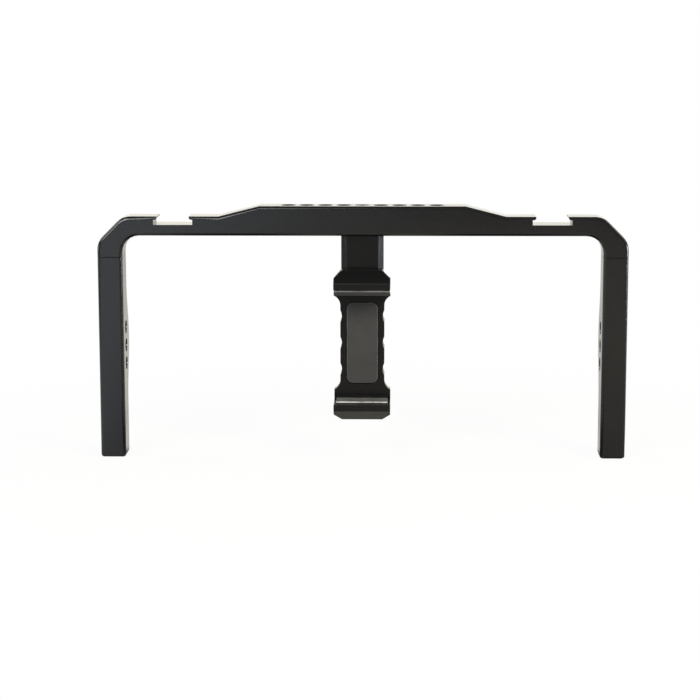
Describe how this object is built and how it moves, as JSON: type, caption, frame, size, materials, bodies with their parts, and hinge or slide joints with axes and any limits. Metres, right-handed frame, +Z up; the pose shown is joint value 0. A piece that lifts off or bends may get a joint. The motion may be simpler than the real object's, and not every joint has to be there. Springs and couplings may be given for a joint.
{
  "type": "phone cage",
  "caption": "Flat-bar phone cage with a leg at each end, cold shoes and threaded holes for accessories, and a sliding phone clamp locked by a knob behind it.",
  "frame": {"origin": "on the ground under the middle of the bar, halfway between the jaws' fronts and the knob's back", "axes": "+X along the bar to the right, +Y to the back, away from the phone, +Z up"},
  "size_m": [0.252, 0.04, 0.1213],
  "materials": {
    "anodised_black": "bead-blasted, black anodised",
    "black_steel": "black oxide",
    "bright_steel": "zinc plated",
    "grey_rubber": "matt moulded",
    "black_nylon": "matt moulded"
  },
  "bodies": {
    "frame": {"top_bar": "anodised_black", "left_leg": "anodised_black", "right_leg": "anodised_black", "left_leg_screws": "black_steel", "right_leg_screws": "black_steel", "neck_screw": "black_steel", "neck_dowels": "bright_steel", "upper_jaw": "anodised_black", "upper_jaw_pad": "grey_rubber", "slide_rail": "black_steel", "rail_screws": "black_steel"},
    "clamp": {"clamp_body": "anodised_black", "lower_jaw_pad": "grey_rubber", "centre_pad": "grey_rubber", "back_cover": "anodised_black", "cover_screws": "black_steel", "clamp_nut": "bright_steel"},
    "washer": {"lock_washer": "black_nylon"},
    "knob": {"lock_knob": "anodised_black", "lock_screw": "bright_steel", "knob_cap": "black_nylon"}
  },
  "joints": [
    {"name": "clamp_slide", "type": "slide", "parent": "frame", "child": "clamp", "axis": [0, 0, -1], "range_m": [0, 0.036]},
    {"name": "lock_advance", "type": "slide", "parent": "clamp", "child": "washer", "axis": [0, 1, 0], "range_m": [0, 0.0016]},
    {"name": "lock_turn", "type": "hinge", "parent": "washer", "child": "knob", "pos_m": [0, 0.0139, 0.0704], "axis": [0, 1, 0], "range_deg": [0, 720]}
  ],
  "couplings": [
    {"joint": "lock_turn", "follows": "lock_advance", "rad_per_m": 7854}
  ]
}
